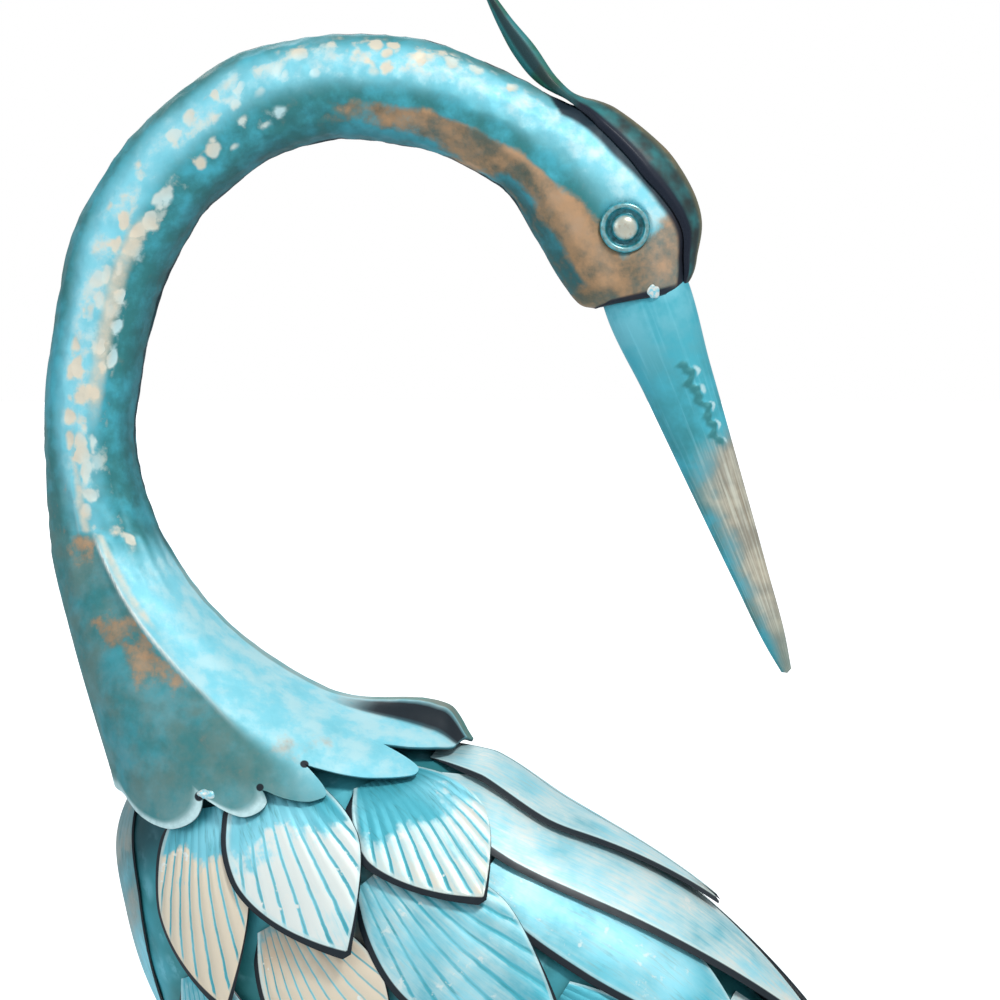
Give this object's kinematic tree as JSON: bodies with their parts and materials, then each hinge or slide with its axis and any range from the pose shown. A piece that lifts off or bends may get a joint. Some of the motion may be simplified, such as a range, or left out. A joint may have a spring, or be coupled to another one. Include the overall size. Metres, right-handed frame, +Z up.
{
  "type": "crane figurine",
  "caption": "Standing garden crane in painted sheet steel, with an arched neck, head turned back over its shoulder, overlapping leaf-shaped feathers and a low oval base.",
  "frame": {"origin": "centre of the base's underside, on the ground", "axes": "+Z up; the breast faces -X and the tail +X; the middle plane of the figure is y = 0, and -Y is the figure's left side"},
  "size_m": [0.426, 0.19, 0.924],
  "materials": {
    "teal_paint": "hammered sheet steel in teal paint, dry brushed in pale cyan, cream and bronze",
    "feather_paint": "stamped sheet steel in light teal paint, dry brushed in white and cream over the grooves",
    "eye_paint": "pressed disc in pale teal paint, slightly glossy",
    "crest_paint": "dark bronze brown paint over a navy edge, satin",
    "dark_steel": "dark brown grey paint with worn edges, satin"
  },
  "bodies": {
    "root": {"body": "teal_paint", "neck": "teal_paint", "crest": "crest_paint", "bill": "teal_paint", "eye_left": "eye_paint", "eye_right": "eye_paint", "shoulder_feather_left_1": "feather_paint", "shoulder_feather_left_2": "feather_paint", "shoulder_feather_left_3": "feather_paint", "shoulder_feather_left_4": "feather_paint", "shoulder_feather_right_1": "feather_paint", "shoulder_feather_right_2": "feather_paint", "shoulder_feather_right_3": "feather_paint", "shoulder_feather_right_4": "feather_paint", "back_feather_left_1": "feather_paint", "back_feather_left_2": "feather_paint", "back_feather_left_3": "feather_paint", "back_feather_right_1": "feather_paint", "back_feather_right_2": "feather_paint", "back_feather_right_3": "feather_paint", "flank_feather_left_1": "feather_paint", "flank_feather_left_2": "feather_paint", "flank_feather_left_3": "feather_paint", "flank_feather_right_1": "feather_paint", "flank_feather_right_2": "feather_paint", "flank_feather_right_3": "feather_paint", "wing_feather_left_1": "feather_paint", "wing_feather_left_2": "feather_paint", "wing_feather_left_3": "feather_paint", "wing_feather_right_1": "feather_paint", "wing_feather_right_2": "feather_paint", "wing_feather_right_3": "feather_paint", "thigh_feather_left_1": "feather_paint", "thigh_feather_left_2": "feather_paint", "thigh_feather_right_1": "feather_paint", "thigh_feather_right_2": "feather_paint", "flight_feather_left_1": "feather_paint", "flight_feather_left_2": "feather_paint", "flight_feather_left_3": "feather_paint", "flight_feather_left_4": "feather_paint", "flight_feather_right_1": "feather_paint", "flight_feather_right_2": "feather_paint", "flight_feather_right_3": "feather_paint", "flight_feather_right_4": "feather_paint", "rump_feather_left_1": "feather_paint", "rump_feather_left_2": "feather_paint", "rump_feather_right_1": "feather_paint", "rump_feather_right_2": "feather_paint", "tail_feather_1": "feather_paint", "tail_feather_2": "feather_paint", "tail_feather_3": "feather_paint", "tail_feather_4": "feather_paint", "tail_feather_5": "feather_paint", "thigh_left": "teal_paint", "thigh_right": "teal_paint", "leg_left": "dark_steel", "leg_right": "dark_steel", "foot_left": "dark_steel", "foot_right": "dark_steel", "base": "dark_steel"}
  },
  "joints": []
}
